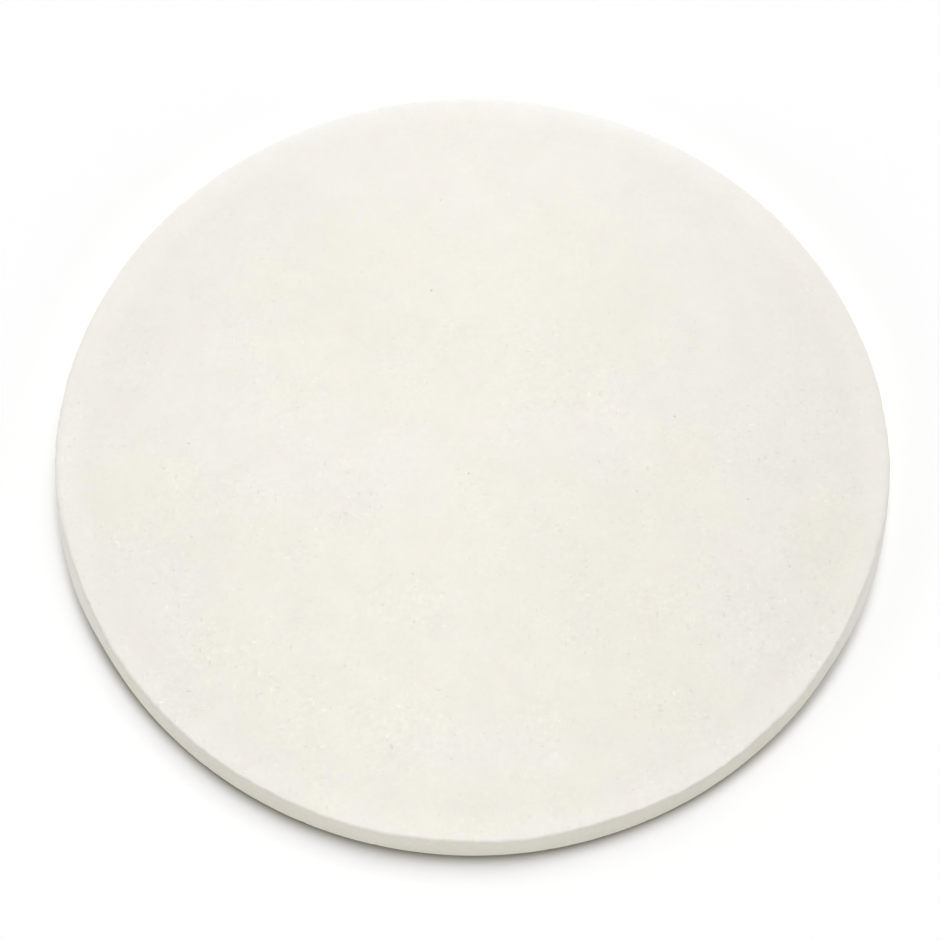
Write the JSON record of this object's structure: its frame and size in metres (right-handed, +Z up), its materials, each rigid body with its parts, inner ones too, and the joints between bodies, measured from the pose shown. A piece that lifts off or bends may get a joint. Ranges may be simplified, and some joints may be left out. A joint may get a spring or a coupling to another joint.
{
  "type": "pizza stone",
  "caption": "Round flat slab of pale unglazed porous ceramic with softly rounded rims, for baking pizza and bread on in an oven.",
  "frame": {"origin": "centre of the flat underside, on the surface that the stone stands on", "axes": "+Z up through the baking surface, along the disc's axis; +X and +Y lie in the underside and are alike, because the disc is round"},
  "size_m": [0.33, 0.33, 0.015],
  "materials": {
    "stone_body": "matte, unglazed and slightly sandy, warm off-white"
  },
  "bodies": {
    "root": {"pizza_stone": "stone_body"}
  },
  "joints": []
}
